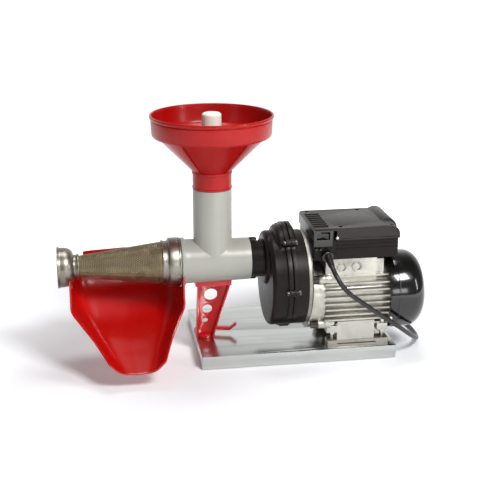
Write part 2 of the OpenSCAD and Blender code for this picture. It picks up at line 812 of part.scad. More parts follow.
module sieve_cone() {
    t = 1;
    end = 5;
    color(tinned) difference() {
        union() {
            xcyl(sieve_x[0], sieve_x[1], sieve_r2, r2 = sieve_r);
            xcyl(sieve_x[0] - end, sieve_x[0], sieve_r2);
            xcyl(sieve_x[1], sieve_x[1] + end, sieve_r);
        }
        xcyl(sieve_x[0], sieve_x[1], sieve_r2 - t, r2 = sieve_r - t);
        xcyl(sieve_x[0] - end - 1, sieve_x[0] + eps, sieve_r2 - t);
        xcyl(sieve_x[1] - eps, sieve_x[1] + end + 1, sieve_r - t);
    }
}

module sieve_collar() {
    x1 = body_x0;
    color(steel) difference() {
        union() {
            xcyl(sieve_x[1], x1, 32.5);
            xcyl(x1 - 2.5, x1, 34.5);
            xcyl(sieve_x[1], sieve_x[1] + 2.5, 33.4);
        }
        xcyl(sieve_x[1] - 1, sieve_x[1] + 5, sieve_r);
        xcyl(sieve_x[1] + 5 - eps, x1 + 1, sieve_r - 1);
    }
}

module ring_nut() {
    x0 = body_x0 - 4.7;
    x1 = flange_x[0] - 0.3;
    r = nut_r;
    color(steel) difference() {
        xrev(concat([[x0, 0]], arc([x0 + 2.5, r - 2.5], 2.5, 180, 90), arc([x1 - 2, r - 2], 2, 90, 0),
            [[x1, 0]]));
        xcyl(x0 - 1, x0 + 2.2, 32.9);
        xcyl(x0 + 1.8, body_x0 + 0.3, 34.9);
        xcyl(body_x0, x1 + 1, 33.4);
        // Turned groove near the flange
        difference() {
            xcyl(x1 - 4.6, x1 - 3.4, r + 3);
            xcyl(x1 - 5, x1 - 3, r - 1.1);
        }
        // Slots for a hook spanner
        for (a = [15:90:285])
            translate([0, axis_y, mill_z]) rotate([a, 0, 0])
                translate([x1 - 6.5, 35.2, -2]) cube([5, 4, 4]);
    }
}

module waste_nozzle() {
    t = 1.6;
    x0 = nozzle_x;
    bell = [for (a = [0:10:90]) [-334 - 15 * (1 - cos(a)), 18 + 11.4 * sin(a)]];
    outer = concat([[-326, 17.9], [-326.8, 18.9], [-328.8, 18.9], [-330, 18]], bell,
        [[x0 + 4, 29.6], [x0 + 2, nozzle_r - 0.6], [x0 + 0.6, nozzle_r]]);
    inner = concat([[x0, nozzle_r - 0.4], [x0 + 2.2, nozzle_r - 2.4]],
        [for (i = [len(bell) - 1:-1:0]) [bell[i][0] - 0.6, bell[i][1] - t]],
        [[-331.6, sieve_r2], [-326, sieve_r2]]);
    color(tinned) xrev(concat(outer, inner));
}

// Collecting tray: [floor y, floor z, edge y, edge z, half widths of floor and edge, shift along X]
tray_c = -257.8;
tray_stations = [[0, 168, -90, 144.5, 1, 1, 0], [-1, 135, -91, 132, 1, 1, 0],
    [-7, 108, -92, 116, 0.97, 1, 0], [-28, 86, -94, 102, 0.9, 0.99, 0.5],
    [-60, 64, -104, 86, 0.73, 0.86, 2.5], [-100, 43, -124, 64, 0.52, 0.66, 5.5],
    [-150, 25, -153, 43, 0.29, 0.48, 8.5]];
tray_sub = 4;

// Value between list entries, on a smooth curve through them
function smooth(list, u) =
    let (n = len(list) - 1, i = min(floor(u), n - 1), t = u - i,
         a = list[max(i - 1, 0)], b = list[i], c = list[i + 1], d = list[min(i + 2, n)])
    0.5 * (2 * b + (c - a) * t + (2 * a - 5 * b + 4 * c - d) * t * t + (3 * b - a - 3 * c + d) * t * t * t);

function tray_ring(u) =
    let (s = smooth(tray_stations, u),
         n = len(tray_stations) - 1,
         q = smooth(tray_stations, min(u + 0.1, n)) - smooth(tray_stations, max(u - 0.1, 0)),
         m = [q[1], -q[0]] / norm([q[0], q[1]]),
         f = [s[0], s[1]], e = [s[2], s[3]],
         o = f - tray_t * m,
         w = tray_w * s[4], v = tray_w * s[5], t = tray_t, r = 0.12,
         k = f + r * (e - f), g = w + r * (v - w), c = tray_c + s[6])
    [[c - v, e[0], e[1]], [c - g, k[0], k[1]], [c - w * 0.94, f[0], f[1]],
     [c + w * 0.94, f[0], f[1]], [c + g, k[0], k[1]], [c + v, e[0], e[1]],
     [c + v + t, e[0], e[1]], [c + g + t, k[0], k[1]], [c + w * 0.94 + t * 0.4, o[0], o[1]],
     [c - w * 0.94 - t * 0.4, o[0], o[1]], [c - g - t, k[0], k[1]], [c - v - t, e[0], e[1]]];

module collecting_tray() {
    n = (len(tray_stations) - 1) * tray_sub;
    m = 12;
    rings = [for (i = [0:n]) tray_ring(i / tray_sub)];
    points = [for (ring = rings, p = ring) p];
    cap = [for (j = [0:4]) [j, j + 1, 10 - j, 11 - j]];
    faces = concat(
        [for (c = cap) each [[c[0], c[1], c[2]], [c[0], c[2], c[3]]]],
        [for (i = [0:n - 1], j = [0:m - 1])
            let (k = (j + 1) % m) each
            [[i * m + j, (i + 1) * m + j, (i + 1) * m + k], [i * m + j, (i + 1) * m + k, i * m + k]]],
        [for (c = cap) each [[n * m + c[2], n * m + c[1], n * m + c[0]],
            [n * m + c[3], n * m + c[2], n * m + c[0]]]]);
    color(red) difference() {
        polyhedron(points, faces);
        // Notches that fit round the ring nut and the waste nozzle
        xcyl(tray_c + tray_w - 9, tray_c + tray_w + 10, nut_r + 0.5);
        xcyl(tray_c - tray_w - 10, tray_c - tray_w + 5, nozzle_r + 0.8);
        translate([tray_c - tray_w - 10, axis_y, mill_z - 20]) cube([15, 24, 60]);
        translate([tray_c + tray_w - 9, axis_y, mill_z - 5]) cube([19, 30, 60]);
    }
}

module funnel() {
    t = 2.2;
    z0 = neck_top + 0.3;
    z1 = 297;
    zb = 354;
    top = funnel_top;
    r = funnel_r;
    outer = concat([[neck_r - 3.4, z0 - 25], [neck_r - 3.4, z0], [neck_r - 0.4, z0], [neck_r + 0.4, z0 + 1],
        [neck_r + 0.4, z0 + 3], [neck_r, z0 + 4], [neck_r, z1 - 2], [neck_r + 1.5, z1 + 1]],
        [[r - 10, zb - 5.5], [r - 7.5, zb - 4]], arc([r - 8, zb + 2], 5, -70, 0, 5),
        [[r - 1.6, top - 5], [r - 0.2, top - 4]], arc([r - 1.6, top - 1.6], 1.6, 0, 180, 6));
    inner = [[r - 1.6 - t, top - 6], [r - 3 - t, zb + 3], [r - 4.5 - t, zb - 0.5], [r - 12, zb - 3],
        [neck_r + 0.6, z1 + 3], [neck_r - 2.2, z1 - 1], [neck_r - 2.2, z0 + 3],
        [neck_r - 5.3, z0], [neck_r - 5.3, z0 - 25]];
    color(red) translate([neck_x, axis_y, 0]) rotate_extrude() polygon(concat(outer, inner));
}

module pestle() {
    head_r = neck_r - 6.2;
    z0 = 202;
    z1 = 382;
    e = 4;
    color("white") translate([neck_x, axis_y, 0]) rotate_extrude()
        polygon(concat([[0, z0], [head_r - 2, z0], [head_r, z0 + 2], [head_r, z0 + 16], [head_r - 2, z0 + 18],
            [pestle_r, z0 + 24]], arc([pestle_r - e, z1 - e], e, 0, 90), [[0, z1]]));
}

module support_bracket() {
    lean = 17.5;
    base_y = -19;
    z0 = base_h + 3;
    top = 103.5;
    sheet = 2.4;
    depth = 8;
    // Holes: [x, distance up the plate, radius, half stretch]
    holes = [[-129.7, 79, 10, 1.5], [-134.2, 51.1, 7.4, 1.4], [-136.7, 28.8, 4.2, 0.6]];
    color(red) difference() {
        union() {
            translate([foot_x, foot_y, base_h]) cylinder(h = 5, r = 16);
            translate([foot_x, foot_y - 12, base_h]) cylinder(h = 5, r = 14);
            translate([0, base_y, z0]) rotate([lean, 0, 0]) {
                rotate([90, 0, 0]) translate([0, 0, -sheet]) linear_extrude(sheet)
                    polygon([[-151, 0], [-124, 0], [-101, top], [-151, top]]);
                // Stiffening flanges along both edges
                rotate([90, 0, 0]) translate([0, 0, -sheet]) linear_extrude(sheet + depth) {
                    polygon([[-151, 0], [-148.5, 0], [-148.5, top], [-151, top]]);
                    polygon([[-126.5, 0], [-124, 0], [-101, top], [-103.5, top]]);
                }
            }
            translate([-155, axis_y - 14, 121]) cube([54.5, 28, 15]);
        }
        xcyl(flange_x[0], body_x1, barrel_r + 0.02, r2 = barrel_r2 + 0.02);
        translate([0, base_y, z0]) rotate([lean, 0, 0])
            for (h = holes, s = [-1, 1])
                translate([h[0], 10, h[1] + s * h[3]]) rotate([90, 0, 0]) cylinder(h = 18, r = h[2]);
        translate([-170, -60, 0]) cube([80, 120, base_h]);
        translate([foot_x, foot_y, base_h - 1]) cylinder(h = 20, r = 3.1);
    }
}

module bracket_foot_screw() {
    color(steel) translate([foot_x, foot_y, 0]) {
        translate([0, 0, base_h - sheet_t - 3.5]) cylinder(h = 3.5, r = 5, $fn = 6);
        translate([0, 0, base_h - sheet_t - 3.5]) cylinder(h = 20, r = 3);
        translate([0, 0, base_h - sheet_t + 13]) cylinder(h = 3, r1 = 5.5, r2 = 4.2);
    }
}

module clamp_lever() {
    // Flat strip that turns up beyond the foot, drawn at its rest angle
    z = base_h + 5.3;
    reach = 41;
    over = 11;
    up = 9.5;
    thick = 4.2;
    rest = -17;
    color(red) translate([foot_x, foot_y, z]) rotate([0, 0, rest]) difference() {
        union() {
            cylinder(h = 5.8, r = 8);
            translate([0, 4.5, 1]) rotate([90, 0, 0]) linear_extrude(9)
                polygon([[3, 0], [reach, 0], [reach + over, up], [reach + over - 2.7, up + 3.1],
                    [reach - 1.5, thick], [3, thick]]);
        }
        translate([0, 0, -6]) cylinder(h = 20, r = 3 + fit);
    }
}

// Path of the cord from the gland down to the floor and round to the coil
cord_route = [[38, -92, 171.6], [38, -103, 171], [38, -114.6, 167.9], [38.2, -126.2, 164.5],
    [39.6, -137, 159], [43.4, -145.2, 150.5], [50.3, -149, 140], [60.5, -148, 128.5], [74, -144, 117],
    [89, -139.5, 105], [105, -134, 92], [121, -128, 79.5], [137, -121, 67], [152, -112, 54.5],
    [166, -101, 42], [179, -87, 30], [191, -70, 19], [200, -50, 10], [206, -28, 4.8], [208, -4, 3.6],
    [206, 20, 3.5], [200, 45, 3.5], [190, 72, 3.5], [177, 97, 3.5], [163, 119, 3.5], [153, 136, 3.5],
    [148, 152, 3.5]];
plug_route = [[145.5, 138, 12], [147.8, 152, 15.8], [145.2, 166.6, 17.6], [137.8, 179.5, 17.6],
    [126.4, 189, 17.6], [112, 194.2, 17.5], [98, 195, 16.8], [85, 193.8, 13.2], [75, 192.2, 9.6],
    [65, 191, 7.5]];
coil_at = [105, 152];

// Tube of eight sides swept along a smooth curve through the points
module tube(route, r, per) {
    sides = 8;
    n = (len(route) - 1) * per;
    last = len(route) - 1;
    points = [for (i = [0:n])
        let (u = i / per,
             p = smooth(route, u),
             d = smooth(route, min(u + 0.05, last)) - smooth(route, max(u - 0.05, 0)),
             w = d / norm(d),
             side = cross(w, abs(w[2]) > 0.9 ? [0, 1, 0] : [0, 0, 1]),
             b = side / norm(side),
             c = cross(b, w))
        for (j = [0:sides - 1]) p + r * (cos(j * 45 + 22.5) * b + sin(j * 45 + 22.5) * c)];
    faces = concat([[for (j = [0:sides - 1]) j]],
        [for (i = [0:n - 1], j = [0:sides - 1])
            let (k = (j + 1) % sides) each
            [[i * sides + j, (i + 1) * sides + j, (i + 1) * sides + k],
             [i * sides + j, (i + 1) * sides + k, i * sides + k]]],
        [[for (j = [sides - 1:-1:0]) n * sides + j]]);
    polyhedron(points, faces);
}

module power_cord() {
    color(black) {
        tube(cord_route, cord_d / 2, 2);
        tube(plug_route, cord_d / 2, 2);
    }
}

module cord_coil() {
    w = cord_d;
    color(black) translate([coil_at[0], coil_at[1], 0]) rotate_extrude()
        polygon(concat(arc([coil_r + w / 2 + 0.3, w / 2], w / 2, -90, 0, 4),
            arc([coil_r + w / 2 + 0.3, 1.5 * w], w / 2, 0, 90, 4),
            arc([coil_r - w / 2 - 0.3, 1.5 * w], w / 2, 90, 180, 4),
            arc([coil_r - w / 2 - 0.3, w / 2], w / 2, 180, 270, 4)));
}

module coil_tie() {
    h = 2 * cord_d;
    color(black) translate([coil_at[0], coil_at[1] - coil_r, 0]) difference() {
        translate([-4, -cord_d - 2, 0]) cube([8, 2 * cord_d + 4.6, h + 1.4]);
        translate([-5, -cord_d - 0.6, -1]) cube([10, 2 * cord_d + 1.8, h + 1.1]);
    }
}

module plug_body() {
    color(black) translate([0, 191, 7.5]) rotate([90, 0, 90]) {
        translate([0, 0, 16]) linear_extrude(25) plug_face(14, 7.5);
        translate([0, 0, 41]) cylinder(h = 24, r1 = 6.6, r2 = 4.4);
    }
}

// Stadium outline of the plug: half width w, half height h
module plug_face(w, h) {
    square([2 * (w - h), 2 * h], center = true);
    for (s = [-1, 1]) translate([s * (w - h), 0]) circle(r = h);
}

module plug_pins() {
    color("goldenrod") for (s = [-1, 0, 1])
        xcyl(-3, 16, 2, 191 + s * 9.5, 7.5);
}

base_tray();
rubber_feet();
plinth_rails();
motor_foot_bolts();
motor_housing();
front_shield();
shield_bolts();
rear_shield();
stator_core();
stator_windings();
motor_bearings();
fan_cowl();
cowl_screws();
rotor_shaft();
rotor_core();
cooling_fan();
motor_pinion();
terminal_box_base();
terminal_box_lid();
lid_screws();
start_capacitor();
switch_housing();
switch_rocker();
cable_gland();
strain_relief();
gear_case_front();
gear_case_rear();
gear_case_bolts();
case_back_plate();
plate_gasket();
countershaft();
countershaft_wheel();
countershaft_pinion();
countershaft_bushes();
output_wheel();
output_shaft();
output_bushes();
shaft_seal();
collar_screws();
mill_body();
auger_screw();
auger_shank();
sieve_cone();
sieve_collar();
ring_nut();
waste_nozzle();
collecting_tray();
funnel();
pestle();
support_bracket();
bracket_foot_screw();
clamp_lever();
power_cord();
cord_coil();
coil_tie();
plug_body();
plug_pins();
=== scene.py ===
import math

import bmesh
import bpy
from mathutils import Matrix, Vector


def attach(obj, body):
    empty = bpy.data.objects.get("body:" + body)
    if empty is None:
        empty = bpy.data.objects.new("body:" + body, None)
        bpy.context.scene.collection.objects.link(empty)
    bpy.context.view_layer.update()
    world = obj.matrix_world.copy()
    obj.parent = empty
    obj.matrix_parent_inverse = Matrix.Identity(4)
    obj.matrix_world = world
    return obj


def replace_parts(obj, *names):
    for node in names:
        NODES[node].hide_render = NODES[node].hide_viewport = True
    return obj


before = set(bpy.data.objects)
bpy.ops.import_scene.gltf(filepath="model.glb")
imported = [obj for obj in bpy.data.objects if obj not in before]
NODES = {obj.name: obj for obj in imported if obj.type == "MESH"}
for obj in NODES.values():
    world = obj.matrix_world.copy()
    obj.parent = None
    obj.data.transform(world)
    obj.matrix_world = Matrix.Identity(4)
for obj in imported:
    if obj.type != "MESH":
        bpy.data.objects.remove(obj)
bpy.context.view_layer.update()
MM = 0.001
scene = bpy.context.scene
scene.view_settings.view_transform = "Standard"

# Axes of the machine, in millimetres
AXIS_Y = -50.0
MILL_Z = 158.0
MOTOR_Z = 97.0
NECK_X = -127.0

# ---------------------------------------------------------------- camera
camera_data = bpy.data.cameras.new("camera")
camera_data.lens = 76.95
camera_data.sensor_width = 36
camera_data.clip_end = 50
camera = bpy.data.objects.new("camera", camera_data)
camera.location = (-0.317, -1.502, 0.655)
camera.rotation_euler = (math.radians(72.35), 0, math.radians(-9.06))
scene.collection.objects.link(camera)
scene.camera = camera


# ---------------------------------------------------------------- helpers
def smooth(row, u):
    """Value at u on a smooth curve through the row's numbers or vectors."""
    last = len(row) - 1
    i = min(int(u), last - 1)
    t = u - i
    a, b, c, d = row[max(i - 1, 0)], row[i], row[i + 1], row[min(i + 2, last)]
    return 0.5 * (2 * b + (c - a) * t + (2 * a - 5 * b + 4 * c - d) * t * t
                  + (3 * b - a - 3 * c + d) * t * t * t)


def smooth_path(route, per):
    """Points on a smooth curve through the route, per steps to each span."""
    points = [Vector(p) for p in route]
    return [smooth(points, n / per) for n in range((len(points) - 1) * per + 1)]


def link(name, mesh, body, material):
    """An object with this mesh and material, riding on a body."""
    o = bpy.data.objects.new(name, mesh)
    scene.collection.objects.link(o)
    mesh.materials.clear()
    mesh.materials.append(material)
    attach(o, body)
    return o


def shade(o, angle=35):
    """Smooth shading, with edges sharper than the angle kept crisp."""
    mesh = o.data
    mesh.polygons.foreach_set("use_smooth", [True] * len(mesh.polygons))
    mesh.set_sharp_from_angle(angle=math.radians(angle))


def mesh_from(name, verts, faces):
    """A mesh from points in millimetres, with its normals pointing outwards."""
    mesh = bpy.data.meshes.new(name)
    mesh.from_pydata([tuple(c * MM for c in v) for v in verts], [], faces)
    bm = bmesh.new()
    bm.from_mesh(mesh)
    bmesh.ops.remove_doubles(bm, verts=bm.verts, dist=1e-7)
    bmesh.ops.recalc_face_normals(bm, faces=bm.faces)
    bm.to_mesh(mesh)
    bm.free()
    return mesh


def lathe(name, profile, body, material, axis="X", centre=(0, AXIS_Y, MILL_Z), segments=96,
          closed=False, angle=35):
    """Turns a profile of (distance along the axis, radius) points about an axis."""
    verts, faces = [], []
    n = len(profile)
    for s, r in profile:
        for k in range(segments):
            a = 2 * math.pi * k / segments
            if axis == "X":
                verts.append((s, centre[1] + r * math.cos(a), centre[2] + r * math.sin(a)))
            elif axis == "Y":
                verts.append((centre[0] + r * math.cos(a), s, centre[2] + r * math.sin(a)))
            else:
                verts.append((centre[0] + r * math.cos(a), centre[1] + r * math.sin(a), s))
    for i in range(n if closed else n - 1):
        j = (i + 1) % n
        for k in range(segments):
            m = (k + 1) % segments
            faces.append((i * segments + k, i * segments + m, j * segments + m, j * segments + k))
    mesh = mesh_from(name, verts, faces)
    o = link(name, mesh, body, material)
    shade(o, angle)
    return o


def prism(name, outline, low, high, body, material, plane="XZ", bevel=0.5, steps=3, angle=35):
    """Extrudes an outline along the axis that its plane leaves out, with softened edges."""
    axis = {"XZ": 1, "YZ": 0, "XY": 2}[plane]
    verts = []
    for level in (low, high):
        for p, q in outline:
            v = [p, q]
            v.insert(axis, level)
            verts.append(v)
    n = len(outline)
    faces = [tuple(range(n)), tuple(range(2 * n - 1, n - 1, -1))]
    faces += [(i, (i + 1) % n, n + (i + 1) % n, n + i) for i in range(n)]
    o = link(name, mesh_from(name, verts, faces), body, material)
    soften(o, bevel, steps)
    shade(o, angle)
    return o


def soften(o, width, steps=2, angle=30):
    """Rounds the edges sharper than the angle, by a width in millimetres."""
    if width <= 0:
        return
    b = o.modifiers.new("bevel", "BEVEL")
    b.width = width * MM
    b.segments = steps
    b.limit_method = "ANGLE"
    b.angle_limit = math.radians(angle)
    b.harden_normals = False
    b.use_clamp_overlap = True


def dress(node, material, bevel=0.4, steps=2, angle=30, flat=35):
    """A CAD node keeps its mesh and gets softened edges and a finished material."""
    o = NODES[node]
    o.data.materials.clear()
    o.data.materials.append(material)
    if "custom_normal" in o.data.attributes:
        o.data.attributes.remove(o.data.attributes["custom_normal"])
    weld = o.modifiers.new("weld", "WELD")
    weld.merge_threshold = 2e-6
    soften(o, bevel, steps, angle)
    o.data.polygons.foreach_set("use_smooth", [True] * len(o.data.polygons))
    edges = o.modifiers.new("edges", "EDGE_SPLIT")
    edges.split_angle = math.radians(flat)
    edges.use_edge_sharp = False


# ---------------------------------------------------------------- materials
def srgb(r, g, b):
    """Linear colour from display values of 0 to 255."""
    return tuple(((c / 255) / 12.92 if c / 255 <= 0.04045 else ((c / 255 + 0.055) / 1.055) ** 2.4)
                 for c in (r, g, b)) + (1,)


def map_range(nodes, source, target):
    """Node that maps the source range of a value on to the target range."""
    node = nodes.new("ShaderNodeMapRange")
    for name, value in zip(("From Min", "From Max", "To Min", "To Max"), source + target):
        node.inputs[name].default_value = value
    return node


def material(name, colour, rough, metal=0.0, spread=0.08, grain=250, bump=0.03, rough_spread=0.08,
             stretch=(1, 1, 1), coat=0.0, coat_rough=0.1, dirt=None, dirt_scale=18, dirt_amount=0.35,
             specular=0.5, subsurface=0.0, fine=0.0, fine_scale=1500):
    """Principled material whose colour, roughness and relief vary with noise.

    grain is the noise's scale, bump and fine are relief in millimetres, and dirt is a second colour in
    patches.
    """
    m = bpy.data.materials.new(name)
    m.use_nodes = True
    nodes, links = m.node_tree.nodes, m.node_tree.links
    shader = nodes["Principled BSDF"]
    shader.inputs["Metallic"].default_value = metal
    shader.inputs["Specular IOR Level"].default_value = specular
    if coat:
        shader.inputs["Coat Weight"].default_value = coat
        shader.inputs["Coat Roughness"].default_value = coat_rough
    if subsurface:
        shader.inputs["Subsurface Weight"].default_value = subsurface
        shader.inputs["Subsurface Radius"].default_value = (0.004, 0.0015, 0.001)
    coords = nodes.new("ShaderNodeTexCoord")
    mapping = nodes.new("ShaderNodeMapping")
    mapping.inputs["Scale"].default_value = stretch
    links.new(coords.outputs["Object"], mapping.inputs["Vector"])
    tone = nodes.new("ShaderNodeTexNoise")
    tone.inputs["Scale"].default_value = grain * 0.12
    tone.inputs["Detail"].default_value = 5
    links.new(mapping.outputs["Vector"], tone.inputs["Vector"])
    ramp = nodes.new("ShaderNodeValToRGB")
    dark = tuple(c * (1 - spread) for c in colour[:3]) + (1,)
    light = tuple(min(1, c * (1 + spread)) for c in colour[:3]) + (1,)
    ramp.color_ramp.elements[0].position = 0.3
    ramp.color_ramp.elements[0].color = dark
    ramp.color_ramp.elements[1].position = 0.7
    ramp.color_ramp.elements[1].color = light
    links.new(tone.outputs["Fac"], ramp.inputs["Fac"])
    base = ramp.outputs["Color"]
    if dirt:
        spots = nodes.new("ShaderNodeTexNoise")
        spots.inputs["Scale"].default_value = dirt_scale
        spots.inputs["Detail"].default_value = 8
        spots.inputs["Roughness"].default_value = 0.65
        links.new(coords.outputs["Object"], spots.inputs["Vector"])
        amount = map_range(nodes, (0.48, 0.72), (0, dirt_amount))
        links.new(spots.outputs["Fac"], amount.inputs["Value"])
        mix = nodes.new("ShaderNodeMix")
        mix.data_type = "RGBA"
        mix.inputs["B"].default_value = dirt
        links.new(amount.outputs["Result"], mix.inputs["Factor"])
        links.new(base, mix.inputs["A"])
        base = mix.outputs["Result"]
    links.new(base, shader.inputs["Base Color"])
    wear = nodes.new("ShaderNodeTexNoise")
    wear.inputs["Scale"].default_value = grain * 0.3
    wear.inputs["Detail"].default_value = 6
    links.new(mapping.outputs["Vector"], wear.inputs["Vector"])
    level = map_range(nodes, (0, 1), (max(0.02, rough - rough_spread), min(1, rough + rough_spread)))
    links.new(wear.outputs["Fac"], level.inputs["Value"])
    links.new(level.outputs["Result"], shader.inputs["Roughness"])
    relief = nodes.new("ShaderNodeTexNoise")
    relief.inputs["Scale"].default_value = grain
    relief.inputs["Detail"].default_value = 3
    links.new(mapping.outputs["Vector"], relief.inputs["Vector"])
    bumps = nodes.new("ShaderNodeBump")
    bumps.inputs["Strength"].default_value = 1
    bumps.inputs["Distance"].default_value = bump * MM
    links.new(relief.outputs["Fac"], bumps.inputs["Height"])
    normal = bumps.outputs["Normal"]
    if fine:
        grit = nodes.new("ShaderNodeTexNoise")
        grit.inputs["Scale"].default_value = fine_scale
        grit.inputs["Detail"].default_value = 2
        links.new(coords.outputs["Object"], grit.inputs["Vector"])
        second = nodes.new("ShaderNodeBump")
        second.inputs["Distance"].default_value = fine * MM
        links.new(grit.outputs["Fac"], second.inputs["Height"])
        links.new(normal, second.inputs["Normal"])
        normal = second.outputs["Normal"]
    links.new(normal, shader.inputs["Normal"])
    return m


RED = material("red_moulded", srgb(160, 4, 2), 0.3, spread=0.03, grain=60, bump=0.03, rough_spread=0.04,
               specular=0.28, coat=0.06, coat_rough=0.1, fine=0.003, fine_scale=2600)
RED_TRAY = material("red_moulded_tray", srgb(180, 7, 5), 0.25, spread=0.03, grain=60, bump=0.03,
                    rough_spread=0.04, specular=0.5, coat=0.4, coat_rough=0.14, fine=0.003, fine_scale=2600)
RED_PAINT = material("red_paint", srgb(190, 14, 16), 0.32, spread=0.1, grain=420, bump=0.05, coat=0.25,
                     coat_rough=0.15, dirt=srgb(104, 12, 14), dirt_scale=60, dirt_amount=0.3)
GREY = material("grey_enamel", srgb(158, 158, 150), 0.36, spread=0.02, grain=300, bump=0.05,
                rough_spread=0.07, coat=0.12, coat_rough=0.3, dirt=srgb(132, 130, 122), dirt_scale=22,
                dirt_amount=0.16, fine=0.006)
BLACK = material("black_moulded", srgb(20, 14, 10), 0.38, spread=0.2, grain=520, bump=0.03,
                 rough_spread=0.1, specular=0.2, fine=0.012)
# Lighter copy of the black moulding, used for the lid: its lighter colour is a painted sheen on the lid's
# top
BLACK_LID_SHEEN = material("black_moulded_lid_painted_sheen", srgb(27, 21, 17), 0.33, spread=0.2, grain=520, bump=0.03,
                     rough_spread=0.1, specular=0.42, fine=0.012)
BLACK_GLOSS = material("black_enamel", srgb(12, 11, 10), 0.16, spread=0.2, grain=160, bump=0.02,
                       rough_spread=0.05, coat=0.5, coat_rough=0.06, fine=0.003)
RUBBER = material("black_rubber", srgb(24, 21, 18), 0.36, spread=0.2, grain=700, bump=0.03,
                  rough_spread=0.1, dirt=srgb(46, 44, 42), dirt_scale=30, dirt_amount=0.25)
CAST = material("cast_aluminium", srgb(196, 193, 184), 0.38, metal=0.9, spread=0.09, grain=420, bump=0.07,
                rough_spread=0.1, dirt=srgb(92, 87, 77), dirt_scale=26, dirt_amount=0.5, fine=0.015)
# Darker, rougher copy of the cast aluminium for the rails and the plate behind the gear case: the roughness
# is the finish, and the darker colour is painted shade there
CAST_DULL_SHADED = material("cast_aluminium_dull_shaded", srgb(158, 155, 146), 0.46, metal=0.85, spread=0.1, grain=420,
                     bump=0.07, rough_spread=0.1, dirt=srgb(80, 76, 68), dirt_scale=26, dirt_amount=0.5,
                     fine=0.015)
BRUSHED = material("brushed_stainless", srgb(200, 202, 199), 0.22, metal=1, spread=0.09, grain=700,
                   bump=0.007, rough_spread=0.08, stretch=(0.025, 1, 1), dirt=srgb(150, 153, 153),
                   dirt_scale=9, dirt_amount=0.2)
STEEL = material("turned_steel", srgb(178, 178, 176), 0.28, metal=1, spread=0.06, grain=800, bump=0.01,
                 stretch=(1, 0.08, 0.08))
ZINC = material("zinc_plate", srgb(205, 204, 196), 0.26, metal=1, spread=0.1, grain=600, bump=0.02,
                dirt=srgb(120, 114, 100), dirt_scale=90, dirt_amount=0.4)
NICKEL = material("nickel_plate", srgb(150, 146, 136), 0.36, metal=1, spread=0.1, grain=500, bump=0.015,
                  rough_spread=0.09, stretch=(1, 0.15, 0.15), dirt=srgb(92, 84, 68), dirt_scale=20,
                  dirt_amount=0.5)
TINNED = material("tinned_sieve", srgb(128, 116, 90), 0.46, metal=0.8, spread=0.2, grain=600, bump=0.06,
                  rough_spread=0.1, dirt=srgb(84, 76, 54), dirt_scale=90, dirt_amount=0.4)
DARK_STEEL = material("dark_steel", srgb(92, 88, 84), 0.3, metal=1, spread=0.12, grain=600, bump=0.02,
                      dirt=srgb(60, 56, 52), dirt_scale=90, dirt_amount=0.4)
WHITE = material("white_moulded", srgb(228, 225, 214), 0.45, spread=0.02, grain=200, bump=0.04,
                 subsurface=0.1, fine=0.008)
NYLON = material("pale_nylon", srgb(214, 202, 168), 0.45, spread=0.05, grain=240, bump=0.03)
BRASS = material("brass", srgb(196, 160, 92), 0.25, metal=1, spread=0.08, grain=600, bump=0.015,
                 stretch=(0.2, 1, 1))
CORE = material("laminated_core", srgb(96, 96, 98), 0.5, metal=0.8, spread=0.2, grain=300, bump=0.05,
                stretch=(6, 1, 1))
COPPER = material("enamelled_wire", srgb(150, 78, 40), 0.3, metal=0.6, spread=0.15, grain=400, bump=0.1,
                  stretch=(1, 0.2, 0.2))

# ---------------------------------------------------------------- cord, in the places of its CAD solids
CORD_D = 7.0
# Listed points: down from the gland in front of the motor, round its right end and along the floor
CORD_ROUTE = [(38, -92, 171.6), (38, -103, 171), (38, -114.6, 167.9), (38.2, -126.2, 164.5),
              (39.6, -137, 159), (43.4, -145.2, 150.5), (50.3, -149, 140), (60.5, -148, 128.5),
              (74, -144, 117), (89, -139.5, 105), (105, -134, 92), (121, -128, 79.5), (137, -121, 67),
              (152, -112, 54.5), (166, -101, 42), (179, -87, 30), (191, -70, 19), (200, -50, 10),
              (206, -28, 4.8), (208, -4, 3.6), (206, 20, 3.5), (200, 45, 3.5), (190, 72, 3.5),
              (177, 97, 3.5), (163, 119, 3.5), (153, 136, 3.5)]
PLUG_ROUTE = [(112, 194.2, 17.5), (98, 195, 16.8), (85, 193.8, 13.2), (75, 192.2, 9.6), (65, 191, 7.5)]
COIL = (105, 152)
COIL_R = 39.0


def coil_points():
    """Two turns on the floor and two on top of them, and part of a turn over those."""
    inner, outer = COIL_R - 3.8, COIL_R + 3.8
    low, middle, top = 3.5, 10.6, 17.6
    step = 15
    # Angle in degrees, radius and height where a turn starts or ends
    keys = [(0, outer, low), (335, outer, low), (380, inner, low), (695, inner, low), (740, inner, middle),
            (1055, inner, middle), (1100, outer, middle), (1415, outer, middle), (1460, outer, top),
            (1520, outer, top)]
    out = []
    for a in range(0, keys[-1][0] + 1, step):
        for (a0, r0, z0), (a1, r1, z1) in zip(keys, keys[1:]):
            if a0 <= a <= a1:
                t = (a - a0) / (a1 - a0)
                t = t * t * (3 - 2 * t)
                r, z = r0 + (r1 - r0) * t, z0 + (z1 - z0) * t
                break
        c = math.radians(a)
        out.append((COIL[0] + r * math.cos(c), COIL[1] + r * math.sin(c), z))
    return out


cord_line = [tuple(p) for p in smooth_path(CORD_ROUTE + coil_points() + PLUG_ROUTE, 4)]
curve = bpy.data.curves.new("supply_cord", "CURVE")
curve.dimensions = "3D"
curve.bevel_depth = CORD_D / 2 * MM
curve.bevel_resolution = 5
curve.use_fill_caps = True
spline = curve.splines.new("POLY")
spline.points.add(len(cord_line) - 1)
for point, p in zip(spline.points, cord_line):
    point.co = (p[0] * MM, p[1] * MM, p[2] * MM, 1)
curve.materials.append(RUBBER)
cord = bpy.data.objects.new("supply_cord", curve)
scene.collection.objects.link(cord)
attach(cord, "base")
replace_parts(cord, "power_cord", "cord_coil")

